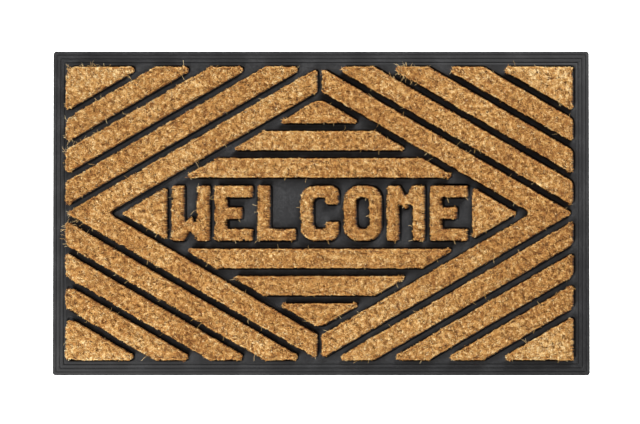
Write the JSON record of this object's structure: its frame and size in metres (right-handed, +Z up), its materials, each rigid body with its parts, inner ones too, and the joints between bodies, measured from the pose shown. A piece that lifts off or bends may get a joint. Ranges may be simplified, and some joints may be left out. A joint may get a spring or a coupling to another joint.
{
  "type": "door mat",
  "caption": "Low rectangular door mat: a moulded rubber tray with a stepped, ribbed border holds coir inlays in diagonal stripes round a diamond with a greeting.",
  "frame": {"origin": "on the floor, under the middle of the mat's outline", "axes": "+X along the long side in the reading direction, +Y from the reader towards the door, +Z up"},
  "size_m": [0.75, 0.453, 0.014],
  "materials": {
    "rubber": "moulded, matt",
    "coir": "cut bristle pile, natural golden brown"
  },
  "bodies": {
    "root": {"rubber_tray": "rubber", "chevron_inlay_left": "coir", "chevron_inlay_right": "coir", "corner_inlay_back_left": "coir", "corner_inlay_back_right": "coir", "corner_inlay_front_left": "coir", "corner_inlay_front_right": "coir", "letter_inlay_1_w": "coir", "letter_inlay_2_e": "coir", "letter_inlay_3_l": "coir", "letter_inlay_4_c": "coir", "letter_inlay_5_o": "coir", "letter_inlay_6_m": "coir", "letter_inlay_7_e": "coir", "peak_inlay_back": "coir", "peak_inlay_front": "coir", "row_inlay_back_1": "coir", "row_inlay_back_2": "coir", "row_inlay_front_1": "coir", "row_inlay_front_2": "coir", "side_inlay_left": "coir", "side_inlay_right": "coir", "stripe_inlay_back_left_1": "coir", "stripe_inlay_back_left_2": "coir", "stripe_inlay_back_left_3": "coir", "stripe_inlay_back_right_1": "coir", "stripe_inlay_back_right_2": "coir", "stripe_inlay_back_right_3": "coir", "stripe_inlay_front_left_1": "coir", "stripe_inlay_front_left_2": "coir", "stripe_inlay_front_left_3": "coir", "stripe_inlay_front_right_1": "coir", "stripe_inlay_front_right_2": "coir", "stripe_inlay_front_right_3": "coir"}
  },
  "joints": []
}
